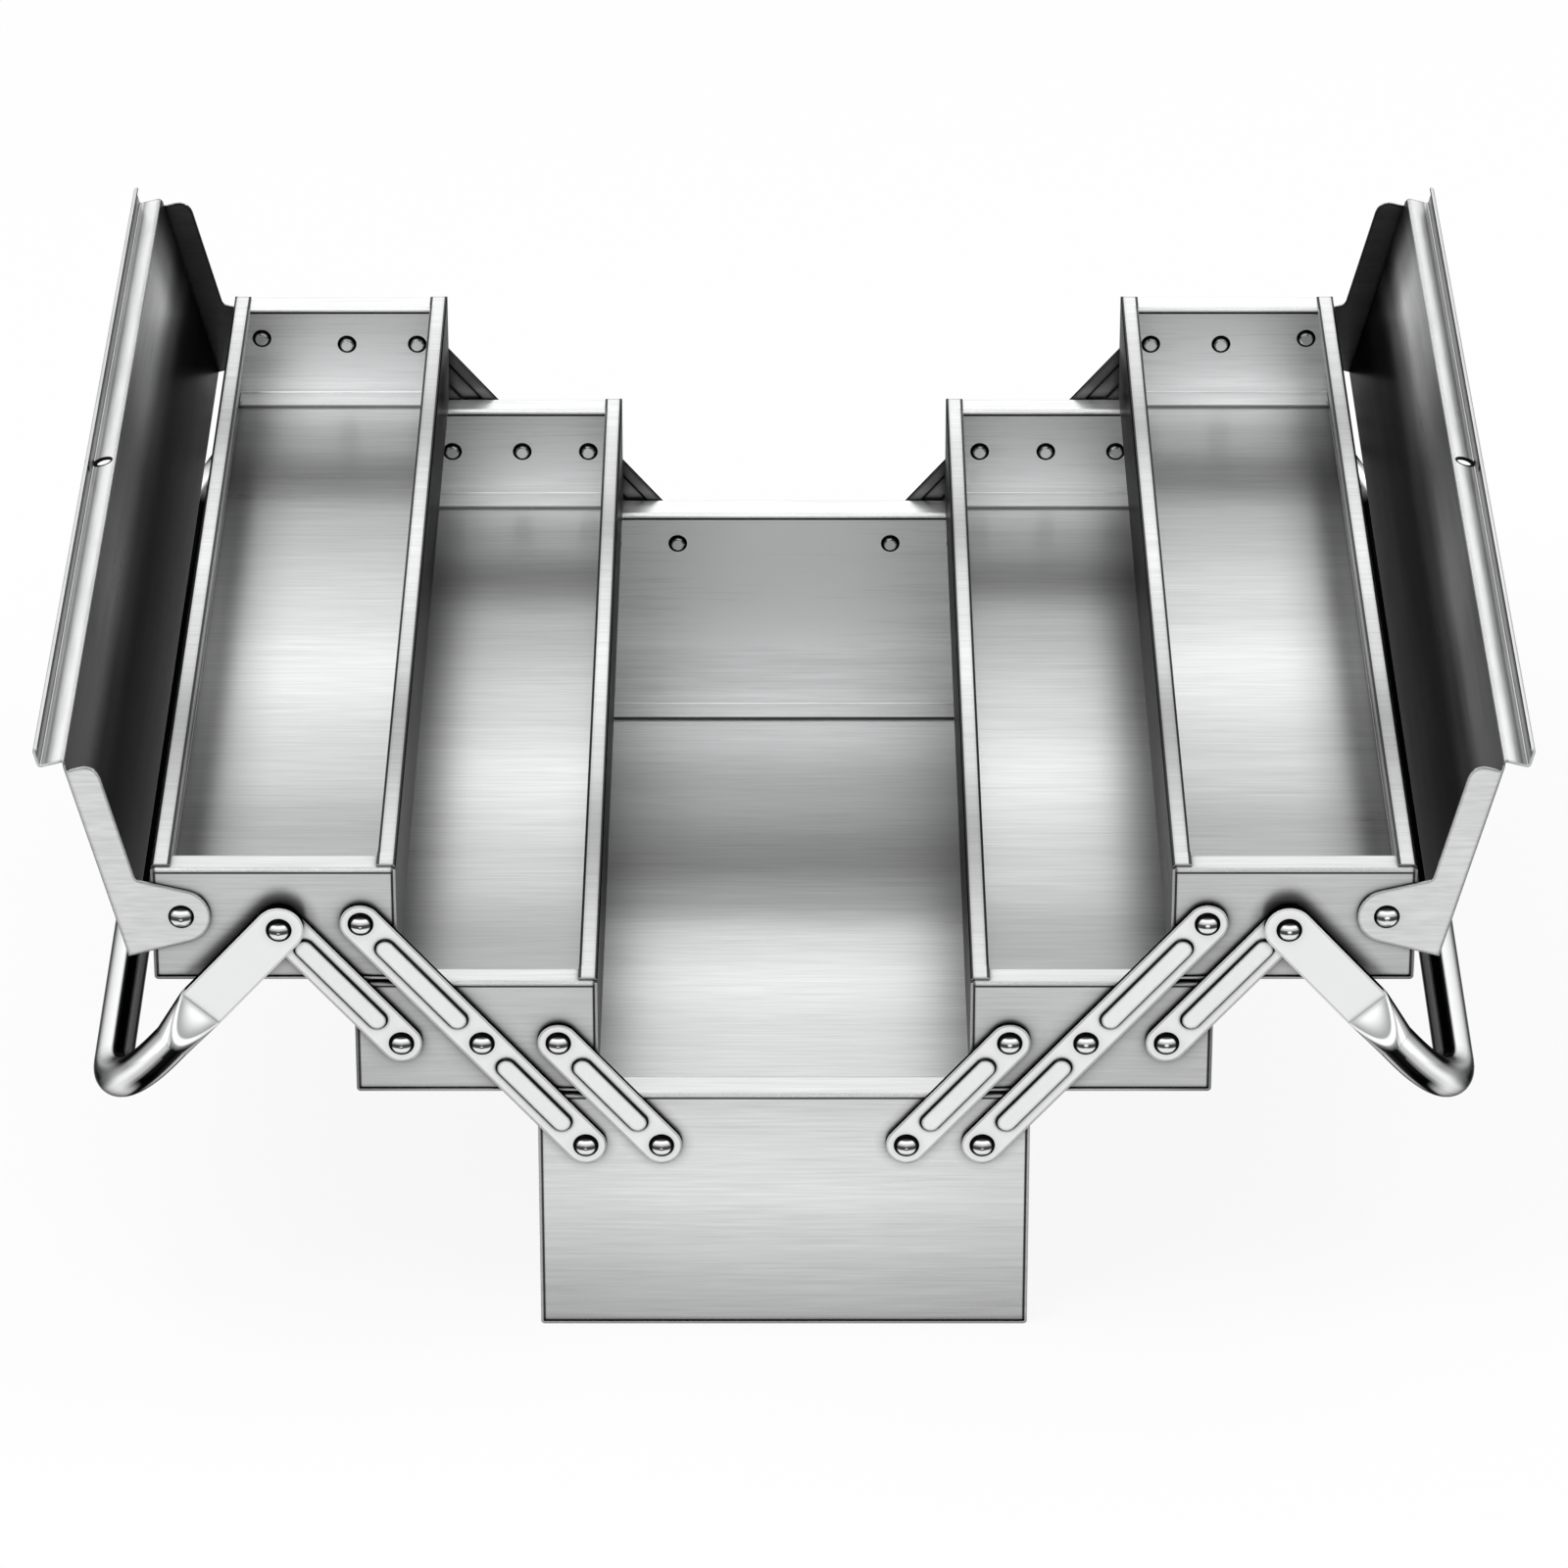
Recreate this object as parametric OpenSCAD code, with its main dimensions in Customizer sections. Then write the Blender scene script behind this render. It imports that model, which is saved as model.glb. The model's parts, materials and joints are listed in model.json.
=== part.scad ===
// Cantilever tool box: a deep bottom tray, two small trays on each side that swing out on
// riveted arms, a hinged lid over each top tray and a bent tube handle on each side.
// It stands on Z = 0 and is drawn open. X runs across the box, Y along the trays.
// The left side is at negative X, the front at negative Y, and the right side is its mirror.

/* [Trays] */
// Length of every tray, from end face to end face
tray_l = 557.6; // [420:0.1:700]
// Width of the bottom tray
bottom_w = 200; // [190:1:250]
// Height of the bottom tray, to the top of its side rims
bottom_h = 109.6; // [95:0.1:140]
// How much narrower each small tray is than half of the bottom tray
width_step = 2; // [0:0.5:5]
// Height of each small tray, to the top of its side rims
small_h = 51.1; // [46:0.1:60]
// Gap under a small tray when it has swung open
rest_gap = 0.8; // [0.5:0.1:3]
// Half of the gap between the left and right middle trays when closed
middle_gap = 3.7; // [1:0.1:5]
// Half of the gap between the left and right top trays when closed
top_gap = 1.4; // [1:0.1:3]

/* [Sheet] */
// Thickness of the tray sheet
sheet_t = 1; // [0.8:0.1:1.2]
// Inside radius of the folds
fold_r = 0.6; // [0.4:0.1:1]
// Gap left in the welded seams between the folded pieces
seam = 0.1; // [0.05:0.05:0.3]

/* [Rims] */
// Width of the rims along the sides
side_rim_w = 7.7; // [6:0.1:9]
// How far the side rims are folded down
side_rim_drop = 4; // [3:0.1:6]
// How far the side rims stop short of the end faces
rim_setback = 2.5; // [0.5:0.1:4]
// Width of the end rims of the bottom tray
bottom_end_rim_w = 16; // [12:0.5:20]
// Width of the end rims of the small trays
small_end_rim_w = 13; // [10:0.5:16]
// How far the end rims are folded down
end_rim_drop = 3.6; // [3:0.1:6]
// Width of the flange that fixes an end panel to the floor
floor_flange_w = 16; // [10:0.5:22]

/* [Arms] */
// Lean of the arms from upright when the box is open, in degrees
arm_open = 41; // [38:0.1:44]
// Lean of the arms past upright when the box is closed, in degrees
arm_closed = 28.5; // [26:0.1:32]
// Width of the arms
arm_w = 17; // [15:0.5:19]
// Thickness of the arms
arm_t = 2; // [1.5:0.1:2.5]
// Gap between the arms and the tray ends
arm_gap = 0.3; // [0.2:0.05:0.5]
// Height of the pressed bead on the arms
bead_h = 1.2; // [0.8:0.1:1.4]
// Width of the pressed bead at its foot
bead_w = 9; // [7:0.5:10]
// Distance from a rivet to the round end of the bead's line
bead_end = 14.8; // [14:0.1:18]
// Distance of the long arms' rivets from the middle of the middle trays
middle_offset = 2.2; // [0:0.1:4]
// Distance of the arms' feet below the bottom tray's rim
foot_drop = 23.4; // [20:0.1:26]
// Distance of the middle trays' rivets below their rims
middle_drop = 27.7; // [24:0.1:30]
// Distance of the top trays' rivets below their rims
top_drop = 24.7; // [23:0.1:26]
// Spacing of the long and the lower short arms
lower_spacing = 30.8; // [29:0.1:33]
// Spacing of the long and the upper short arms
upper_spacing = 32.5; // [31:0.5:34]

/* [Rivets] */
// Diameter of the rivet shanks
rivet_d = 5; // [4:0.5:6]
// Diameter of the domed heads
head_d = 10.4; // [9:0.1:12]
// Height of the domed heads
head_h = 2.6; // [2:0.1:3]
// Diameter of the set tails inside the trays
tail_d = 8.8; // [8:0.1:10]
// Height of the set tails
tail_h = 2; // [1.5:0.1:2.5]
// Radial clearance of the rivets in the pieces that turn on them
running_fit = 0.06; // [0.03:0.01:0.1]
// Play along the rivet beside each piece that turns on it
side_play = 0.1; // [0.05:0.05:0.2]

/* [Lids] */
// Angle from closed to open, in degrees
lid_open = 105; // [95:0.5:110]
// Thickness of the lid sheet
lid_t = 1; // [0.8:0.1:1.2]
// Distance of the lid rivets from the outer side of the top trays
lid_inset = 11.8; // [10.5:0.1:13]
// Distance of the lid rivets below the top trays' rims
lid_drop = 21.8; // [20:0.1:24]
// Gap between the lid and the tray's top corner as it swings past
lid_clear = 0.3; // [0.2:0.1:1.5]
// Half of the gap between the left and right lids when closed
lid_gap = 0.5; // [0.3:0.1:2]
// Gap between the lid's ends and the tray ends
lid_end_gap = 0.4; // [0.3:0.1:0.6]
// Depth of the lid's end flanges
lid_flange_w = 12.8; // [11:0.1:15]
// Distance along the lid from its rivets to the end of the flange by the ear
ear_reach = 20.5; // [18:0.5:24]
// Height of the step along the lid's free edge
step_h = 10; // [8:0.1:12]
// Width of the strip beyond the step
strip_w = 8.3; // [7:0.1:10]
// Width of the lip folded in along the end of the strip
lip_w = 2.2; // [2.2:0.1:3]
// Distance from the end of a flange to the step
flange_stop = 4; // [3:0.5:6]
// Diameter of the padlock holes in the steps
lock_hole_d = 6.5; // [5:0.5:7]
// Diameter of the small holes in the strips
strip_hole_d = 3; // [2:0.5:3.5]
// Distance of the small holes from the edges of the strips
strip_hole_in = 2.9; // [2.5:0.1:4]
// Distance of the small holes in front of the padlock holes
strip_hole_before = 12; // [8:0.5:20]
// Inside radius between an end flange and its ear
ear_fillet_r = 3; // [2:0.5:5]
// Height of the domed heads of the lid rivets
lid_head_h = 2.3; // [2:0.1:2.4]

/* [Handles] */
// Distance from the handle rivets to the middle of the crossbar
handle_reach = 107; // [104:0.5:112]
// Angle of the open handle below level, in degrees
handle_hang = 48; // [44:1:50]
// Diameter of the handle tube
tube_d = 16; // [14:0.1:18]
// Wall of the handle tube
tube_wall = 1.5; // [1:0.1:2]
// Bend radius of the handle tube at its middle line
tube_bend_r = 36; // [30:0.5:38]
// Width of the flattened ends of the handle
strap_w = 20; // [18:0.5:22]
// Thickness of the flattened ends of the handle
strap_t = 3.2; // [2.8:0.1:3.6]
// Length of the flattened ends beyond the rivets
strap_l = 49; // [44:0.5:54]
// Length of the change from the flat end to the round tube
neck_l = 16; // [8:0.5:18]
// Gap between the round tube and the lid ends as the handle swings past
tube_gap = 1.3; // [1.2:0.1:2]
// Gap between the flattened ends and the lid rivets
strap_gap = 0.4; // [0.3:0.1:1]
// Outside diameter of the spacers behind the handle's ends
spacer_d = 11; // [9:0.5:14]

/* [Hidden] */
cut = 1;
corner_steps = 5;
round_fn = 48;
neck_fn = 32;

// Share of the bead's height by which its flat top is narrower on each side
bead_slope_share = 2 / 3;
// Share of an arm's thickness that is left as the wall of the bead
bead_wall_share = 1 / 3;

small_w = bottom_w / 2 - width_step;
shank_r = rivet_d / 2;
hole_r = shank_r + running_fit;
arm_r = arm_w / 2;
bend_r = fold_r + sheet_t;

// Heights of the trays when open
middle_z = bottom_h + rest_gap;
top_z = middle_z + small_h + rest_gap;

// Heights of the arms' rivets, and the lengths of the arms between them
foot_z = bottom_h - foot_drop;
middle_pivot_z = middle_z + small_h - middle_drop;
top_pivot_z = top_z + small_h - top_drop;
lower_rise = middle_pivot_z - foot_z;
upper_rise = top_pivot_z - middle_pivot_z;
lower_c = lower_rise / cos(arm_open);
upper_c = upper_rise / cos(arm_open);

// How far each tray travels across as the box closes, which sets where it stands when open
travel_share = sin(arm_open) + sin(arm_closed);
middle_x = -middle_gap - lower_c * travel_share - small_w / 2;
top_x = -top_gap - (lower_c + upper_c) * travel_share - small_w / 2;

// Rivets of the arms on the left side, each [x, z]
long_middle = [middle_x + middle_offset, middle_pivot_z];
long_foot = long_middle + lower_rise * [tan(arm_open), -1];
long_top = long_middle + upper_rise * [-tan(arm_open), 1];
short_foot = long_foot + [lower_spacing, 0];
short_middle = long_middle + [lower_spacing, 0];
upper_foot = long_middle - [upper_spacing, 0];
upper_top = long_top - [upper_spacing, 0];

// The lid rivet, and the lid's shape measured from it with the lid closed
lid_pivot = [top_x - small_w / 2 + lid_inset, top_z + small_h - lid_drop];
lid_under = norm([lid_inset - bend_r, lid_drop - bend_r]) + bend_r + lid_clear;
lid_top = lid_under + lid_t;
strip_end = small_w - lid_inset + top_gap - lid_gap;
step_x = strip_end - strip_w;
flange_low = lid_top - lid_flange_w;
flange_corner_r = lid_flange_w / 2;

// Layers outward from the tray ends
arm_out = arm_gap + arm_t;
arm_head_out = arm_out + side_play;
lid_out = lid_end_gap + lid_t;
lid_head_out = lid_out + side_play;
strap_in = max(lid_head_out + lid_head_h + strap_gap, arm_out + bead_h + strap_gap);
strap_out = strap_in + strap_t;
strap_head_out = strap_out + side_play;
tube_r = tube_d / 2;
tube_out = lid_out + tube_gap + tube_r;

// Helpers for outlines

function unit(v) = v / norm(v);
function left_of(d) = [-d[1], d[0]];
function turned(v, a) = [v[0] * cos(a) - v[1] * sin(a), v[0] * sin(a) + v[1] * cos(a)];
function reversed(list) = [for (i = [len(list) - 1 : -1 : 0]) list[i]];

// Arc that rounds the corner at b of the line a, b, c, drawn shift to the left of a line
// whose own bend radius is r
function corner(a, b, c, r, shift) =
    let (
        d_in = unit(b - a),
        d_out = unit(c - b),
        bend = atan2(cross(d_in, d_out), d_in * d_out),
        way = sign(bend),
        start = b - d_in * r * tan(abs(bend) / 2),
        centre = start + way * r * left_of(d_in),
        arm = -way * (r - way * shift) * left_of(d_in)
    )
    [for (k = [0 : corner_steps]) centre + turned(arm, bend * k / corner_steps)];

// One face of a folded sheet whose middle line runs through the points of path
function folded_face(path, r, shift) =
    let (
        last = len(path) - 1,
        d_first = unit(path[1] - path[0]),
        d_last = unit(path[last] - path[last - 1])
    )
    concat(
        [path[0] + shift * left_of(d_first)],
        [for (i = [1 : last - 1]) each corner(path[i - 1], path[i], path[i + 1], r, shift)],
        [path[last] + shift * left_of(d_last)]
    );

module folded_sheet(path, t, r) {
    polygon(concat(
        folded_face(path, r + t / 2, t / 2),
        reversed(folded_face(path, r + t / 2, -t / 2))
    ));
}

// Closed outline with the corner at each point rounded by its own radius, each [x, y, r]
module rounded_outline(points) {
    n = len(points);
    xy = [for (p = points) [p[0], p[1]]];
    polygon([
        for (i = [0 : n - 1])
            each (points[i][2] > 0
                ? corner(xy[(i + n - 1) % n], xy[i], xy[(i + 1) % n], points[i][2], 0)
                : [xy[i]])
    ]);
}

// An upright outline, drawn in X and Z, as a solid that runs along Y
module along_y(l) {
    rotate([90, 0, 0]) translate([0, 0, -l / 2]) linear_extrude(l) children();
}

// An upright outline, drawn in Y and Z, as a solid that runs along X
module along_x(l) {
    rotate([90, 0, 90]) translate([0, 0, -l / 2]) linear_extrude(l) children();
}

// Turns pieces drawn face up so that they lie on the front end face, which is their Z = 0
module on_front() {
    translate([0, -tray_l / 2, 0]) rotate([90, 0, 0]) children();
}

module on_back() {
    mirror([0, 1, 0]) on_front() children();
}

module on_both_ends() {
    on_front() children();
    on_back() children();
}

module on_right() {
    mirror([1, 0, 0]) children();
}

// Trays

// Folded from one sheet: the floor, both sides and both side rims, which lie flat on the end
// rims and are folded down between them
module tray_shell(w, h, end_rim_w) {
    wall_x = w / 2 - sheet_t / 2;
    rim_x = w / 2 - side_rim_w + sheet_t / 2;
    top = h - sheet_t / 2;
    side = [[-wall_x, top], [-wall_x, sheet_t / 2], [wall_x, sheet_t / 2], [wall_x, top]];
    flat_rims = concat([[-rim_x + sheet_t / 2, top]], side, [[rim_x - sheet_t / 2, top]]);
    folded_rims = concat(
        [[-rim_x, h - side_rim_drop], [-rim_x, top]], side, [[rim_x, top], [rim_x, h - side_rim_drop]]
    );
    lap_l = end_rim_w + seam;
    difference() {
        union() {
            along_y(tray_l - 2 * lap_l) folded_sheet(folded_rims, sheet_t, fold_r);
            for (end = [-1, 1])
                translate([0, end * (tray_l - lap_l) / 2, 0])
                    along_y(lap_l) folded_sheet(flat_rims, sheet_t, fold_r);
        }
        for (end = [0, 1])
            mirror([0, end, 0]) translate([-w, tray_l / 2 - rim_setback, h - sheet_t])
                cube([2 * w, rim_setback + cut, sheet_t + cut]);
    }
}

// Folded from one sheet: a floor flange, the end wall and a rolled rim. Drawn for the front
module tray_end(w, h, end_rim_w, holes) {
    face_y = -tray_l / 2;
    wall_y = face_y + sheet_t / 2;
    rim_y = face_y + end_rim_w - sheet_t / 2;
    rim_top = h - sheet_t;
    roll = end_rim_drop - sheet_t;
    path = [
        [face_y + floor_flange_w, sheet_t * 3 / 2],
        [wall_y, sheet_t * 3 / 2],
        [wall_y, rim_top - sheet_t / 2],
        [rim_y, rim_top - sheet_t / 2],
        [rim_y, rim_top - end_rim_drop + sheet_t / 2],
        [rim_y - roll, rim_top - end_rim_drop + sheet_t / 2]
    ];
    half = w / 2 - sheet_t - seam;
    inside = [
        [-half, rim_top, 0], [-half, sheet_t, bend_r], [half, sheet_t, bend_r], [half, rim_top, 0]
    ];
    difference() {
        intersection() {
            along_x(w) folded_sheet(path, sheet_t, fold_r);
            along_y(tray_l) rounded_outline(inside);
        }
        on_front()
            for (p = holes)
                translate([p[0], p[1], -sheet_t - cut])
                    cylinder(h = sheet_t + 2 * cut, r = hole_r, $fn = round_fn);
    }
}

// A tray end moved to its tray, with holes for the rivets at points
module end_of_tray(x, z, w, h, end_rim_w, points) {
    translate([x, 0, z]) tray_end(w, h, end_rim_w, [for (p = points) p - [x, z]]);
}

// Rivets

// Drawn on an end face: a set tail behind the sheet, the shank, and a domed head whose
// flat underside is at out
module rivet(p, out, dome_h) {
    dome_r = ((head_d / 2) ^ 2 + dome_h ^ 2) / (2 * dome_h);
    tail_r = ((tail_d / 2) ^ 2 + tail_h ^ 2) / (2 * tail_h);
    translate([p[0], p[1], 0]) {
        translate([0, 0, -sheet_t - tail_h])
            cylinder(h = out + sheet_t + tail_h + dome_h / 2, r = shank_r, $fn = round_fn);
        intersection() {
            translate([0, 0, out]) cylinder(h = dome_h, d = head_d, $fn = round_fn);
            translate([0, 0, out + dome_h - dome_r]) sphere(r = dome_r, $fn = round_fn);
        }
        intersection() {
            translate([0, 0, -sheet_t - tail_h]) cylinder(h = tail_h, d = tail_d, $fn = round_fn);
            translate([0, 0, -sheet_t - tail_h + tail_r]) sphere(r = tail_r, $fn = round_fn);
        }
    }
}

module rivets(points, out, dome_h) {
    on_both_ends()
        for (p = points)
            rivet(p, out, dome_h);
}

// Arms

module arm_plate(a, b) {
    l = norm(b - a);
    along = atan2((b - a)[1], (b - a)[0]);
    translate([a[0], a[1], arm_gap]) rotate(along) linear_extrude(arm_t) {
        translate([0, -arm_r]) square([l, arm_w]);
        circle(arm_r, $fn = round_fn);
        translate([l, 0]) circle(arm_r, $fn = round_fn);
    }
}

// A long bead with sloping sides and round ends that stands on z and is rooted below it
module bead(a, b, z, foot_r, top_r, root) {
    l = norm(b - a) - 2 * bead_end;
    along = atan2((b - a)[1], (b - a)[0]);
    translate([a[0], a[1], z]) rotate(along) translate([bead_end, 0, 0]) {
        rotate([90, 0, 90]) linear_extrude(l) polygon([
            [-foot_r, -root], [foot_r, -root], [foot_r, 0],
            [top_r, bead_h], [-top_r, bead_h], [-foot_r, 0]
        ]);
        for (x = [0, l])
            translate([x, 0, 0]) {
                translate([0, 0, -root]) cylinder(h = root, r = foot_r, $fn = round_fn);
                cylinder(h = bead_h, r1 = foot_r, r2 = top_r, $fn = round_fn);
            }
    }
}

module arm(points) {
    foot_r = bead_w / 2;
    top_r = foot_r - bead_h * bead_slope_share;
    wall = arm_t * bead_wall_share;
    last = len(points) - 1;
    difference() {
        union() {
            arm_plate(points[0], points[last]);
            for (i = [0 : last - 1])
                bead(points[i], points[i + 1], arm_out, foot_r, top_r, wall);
        }
        for (i = [0 : last - 1])
            bead(points[i], points[i + 1], arm_gap, foot_r - wall, top_r - wall, cut);
        for (p = points)
            translate([p[0], p[1], arm_gap - cut])
                cylinder(h = arm_t + 2 * cut, r = hole_r, $fn = round_fn);
    }
}

// Lids

// Drawn closed with the rivet at the origin, then swung open
module lid() {
    middle = lid_under + lid_t / 2;
    lid_l = tray_l + 2 * lid_out;
    strip_z = middle + step_h;
    edge_x = -lid_inset;
    path = [
        [edge_x, middle],
        [step_x, middle],
        [step_x, strip_z],
        [strip_end - lid_t / 2, strip_z],
        [strip_end - lid_t / 2, strip_z + lid_t / 2 - lip_w]
    ];
    translate([lid_pivot[0], 0, lid_pivot[1]]) rotate([0, -lid_open, 0]) {
        difference() {
            union() {
                along_y(tray_l) folded_sheet(path, lid_t, fold_r);
                along_y(lid_l) lid_panel_edge(edge_x, step_x - fold_r - lid_t);
            }
            lock_cuts();
        }
        difference() {
            for (end = [-1, 1])
                translate([0, end * (tray_l / 2 + lid_end_gap + lid_t / 2), 0])
                    along_y(lid_t) lid_flange();
            rotate([90, 0, 0])
                translate([0, 0, -lid_l]) cylinder(h = 2 * lid_l, r = hole_r, $fn = round_fn);
        }
    }
}

module lid_panel_edge(x0, x1) {
    translate([x0, lid_under]) square([x1 - x0, lid_t]);
}

// The end flange with its ear, which is round about the rivet
module lid_flange() {
    shoulder = [ear_reach, flange_low];
    ear_r = lid_inset;
    tangent = atan2(shoulder[1], shoulder[0]) - acos(ear_r / norm(shoulder));
    sweep = tangent + 180;
    ear_steps = 4 * corner_steps;
    ear = [
        for (k = [0 : ear_steps])
            let (a = tangent - sweep * k / ear_steps) [ear_r * cos(a), ear_r * sin(a), 0]
    ];
    stop_x = step_x - flange_stop;
    rounded_outline(concat(
        [[-ear_r, lid_top, 0], [stop_x, lid_top, 0], [stop_x, flange_low, flange_corner_r]],
        [[shoulder[0], shoulder[1], ear_fillet_r]],
        ear
    ));
}

// A round hole for a padlock through the step, and a small hole through the strip
module lock_cuts() {
    translate([step_x - lid_t, 0, lid_top + (step_h - lid_t) / 2]) rotate([0, 90, 0])
        cylinder(h = 2 * lid_t, d = lock_hole_d, $fn = round_fn);
    translate([strip_end - strip_hole_in, -strip_hole_before, lid_top + step_h - 2 * lid_t])
        cylinder(h = 3 * lid_t, d = strip_hole_d, $fn = round_fn);
}

// Handles

// Drawn with the rivets on the Y axis and the handle along X, then turned to hang
module handle() {
    translate([upper_top[0], 0, upper_top[1]]) rotate([0, 180 - handle_hang, 0]) {
        difference() {
            handle_outside();
            handle_bore();
        }
    }
}

module handle_outside() {
    bar_l = tray_l + 2 * tube_out - 2 * tube_bend_r;
    leg_x = strap_l + neck_l;
    translate([handle_reach, bar_l / 2, 0]) rotate([90, 0, 0])
        cylinder(h = bar_l, r = tube_r, $fn = round_fn);
    for (end = [0, 1])
        mirror([0, end, 0]) {
            translate([0, -tray_l / 2 - tube_out, 0]) {
                translate([leg_x, 0, 0]) rotate([0, 90, 0])
                    cylinder(h = handle_reach - tube_bend_r - leg_x, r = tube_r, $fn = round_fn);
                elbow(tube_r);
            }
            handle_strap();
            handle_neck(leg_x);
        }
}

// A quarter bend that leads from the leg, along X, into the bar, along Y
module elbow(r) {
    translate([handle_reach - tube_bend_r, tube_bend_r, 0])
        rotate([0, 0, -90]) rotate_extrude(angle = 90, $fn = 2 * round_fn)
            translate([tube_bend_r, 0]) circle(r, $fn = round_fn);
}

module handle_strap() {
    translate([0, -tray_l / 2 - strap_in, 0]) rotate([90, 0, 0])
        difference() {
            linear_extrude(strap_t) {
                translate([0, -strap_w / 2]) square([strap_l, strap_w]);
                circle(strap_w / 2, $fn = round_fn);
            }
            translate([0, 0, -cut]) cylinder(h = strap_t + 2 * cut, r = hole_r, $fn = round_fn);
        }
}

// The change from the flat end to the round tube
module handle_neck(leg_x) {
    slice = strap_t / 4;
    hull() {
        translate([strap_l - slice, -tray_l / 2 - strap_out, -strap_w / 2])
            cube([slice, strap_t, strap_w]);
        translate([leg_x, -tray_l / 2 - tube_out, 0]) rotate([0, 90, 0])
            cylinder(h = slice, r = tube_r, $fn = neck_fn);
    }
}

// The hollow of the tube, closed by the flattened ends
module handle_bore() {
    bore_r = tube_r - tube_wall;
    bar_l = tray_l + 2 * tube_out - 2 * tube_bend_r;
    leg_x = strap_l + neck_l;
    translate([handle_reach, bar_l / 2, 0]) rotate([90, 0, 0])
        cylinder(h = bar_l, r = bore_r, $fn = round_fn);
    for (end = [0, 1])
        mirror([0, end, 0])
            translate([0, -tray_l / 2 - tube_out, 0]) {
                translate([leg_x, 0, 0]) rotate([0, 90, 0])
                    cylinder(h = handle_reach - tube_bend_r - leg_x, r = bore_r, $fn = round_fn);
                elbow(bore_r);
            }
}

module handle_spacer() {
    difference() {
        translate([0, 0, arm_head_out])
            cylinder(h = strap_in - side_play - arm_head_out, d = spacer_d, $fn = round_fn);
        cylinder(h = strap_in + cut, r = hole_r, $fn = round_fn);
    }
}

// Sub-parts of the root and of the left side

bottom_points = [
    long_foot, short_foot, [-long_foot[0], foot_z], [-short_foot[0], foot_z]
];
middle_points = [upper_foot, long_middle, short_middle];
top_points = [lid_pivot, upper_top, long_top];

module bottom_end() {
    end_of_tray(0, 0, bottom_w, bottom_h, bottom_end_rim_w, bottom_points);
}

module middle_end() {
    end_of_tray(middle_x, middle_z, small_w, small_h, small_end_rim_w, middle_points);
}

module top_end() {
    end_of_tray(top_x, top_z, small_w, small_h, small_end_rim_w, top_points);
}

module bottom_shell() {
    color("gainsboro") tray_shell(bottom_w, bottom_h, bottom_end_rim_w);
}

module bottom_front_end() {
    color("silver") bottom_end();
}

module bottom_back_end() {
    color("silver") mirror([0, 1, 0]) bottom_end();
}

module bottom_rivets() {
    color("white") rivets(bottom_points, arm_head_out, head_h);
}

module middle_shell() {
    color("gainsboro") translate([middle_x, 0, middle_z])
        tray_shell(small_w, small_h, small_end_rim_w);
}

module middle_front_end() {
    color("silver") middle_end();
}

module middle_back_end() {
    color("silver") mirror([0, 1, 0]) middle_end();
}

module middle_rivets() {
    color("white") rivets(middle_points, arm_head_out, head_h);
}

module top_shell() {
    color("gainsboro") translate([top_x, 0, top_z])
        tray_shell(small_w, small_h, small_end_rim_w);
}

module top_front_end() {
    color("silver") top_end();
}

module top_back_end() {
    color("silver") mirror([0, 1, 0]) top_end();
}

module top_arm_rivets() {
    color("white") rivets([long_top], arm_head_out, head_h);
}

module lid_rivets() {
    color("white") rivets([lid_pivot], lid_head_out, lid_head_h);
}

module handle_rivets() {
    color("white") rivets([upper_top], strap_head_out, head_h);
}

module handle_spacers() {
    color("silver") on_both_ends()
        translate([upper_top[0], upper_top[1], 0]) handle_spacer();
}

module long_arm() {
    color("gainsboro") arm([long_foot, long_middle, long_top]);
}

module lower_arm() {
    color("gainsboro") arm([short_foot, short_middle]);
}

module upper_arm() {
    color("gainsboro") arm([upper_foot, upper_top]);
}

module lid_piece() {
    color("darkgray") lid();
}

module handle_piece() {
    color("silver") handle();
}

bottom_shell();
bottom_front_end();
bottom_back_end();
bottom_rivets();
middle_shell();  // middle_shell_left
middle_front_end();  // middle_front_end_left
middle_back_end();  // middle_back_end_left
middle_rivets();  // middle_rivets_left
top_shell();  // top_shell_left
top_front_end();  // top_front_end_left
top_back_end();  // top_back_end_left
top_arm_rivets();  // top_arm_rivets_left
lid_rivets();  // lid_rivets_left
handle_rivets();  // handle_rivets_left
handle_spacers();  // handle_spacers_left
on_front() long_arm();  // long_arm_front_left
on_back() long_arm();  // long_arm_back_left
on_front() lower_arm();  // lower_arm_front_left
on_back() lower_arm();  // lower_arm_back_left
on_front() upper_arm();  // upper_arm_front_left
on_back() upper_arm();  // upper_arm_back_left
lid_piece();  // lid_left
handle_piece();  // handle_left
on_right() middle_shell();  // middle_shell_right
on_right() middle_front_end();  // middle_front_end_right
on_right() middle_back_end();  // middle_back_end_right
on_right() middle_rivets();  // middle_rivets_right
on_right() top_shell();  // top_shell_right
on_right() top_front_end();  // top_front_end_right
on_right() top_back_end();  // top_back_end_right
on_right() top_arm_rivets();  // top_arm_rivets_right
on_right() lid_rivets();  // lid_rivets_right
on_right() handle_rivets();  // handle_rivets_right
on_right() handle_spacers();  // handle_spacers_right
on_right() on_front() long_arm();  // long_arm_front_right
on_right() on_back() long_arm();  // long_arm_back_right
on_right() on_front() lower_arm();  // lower_arm_front_right
on_right() on_back() lower_arm();  // lower_arm_back_right
on_right() on_front() upper_arm();  // upper_arm_front_right
on_right() on_back() upper_arm();  // upper_arm_back_right
on_right() lid_piece();  // lid_right
on_right() handle_piece();  // handle_right
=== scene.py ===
import json
import math

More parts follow.
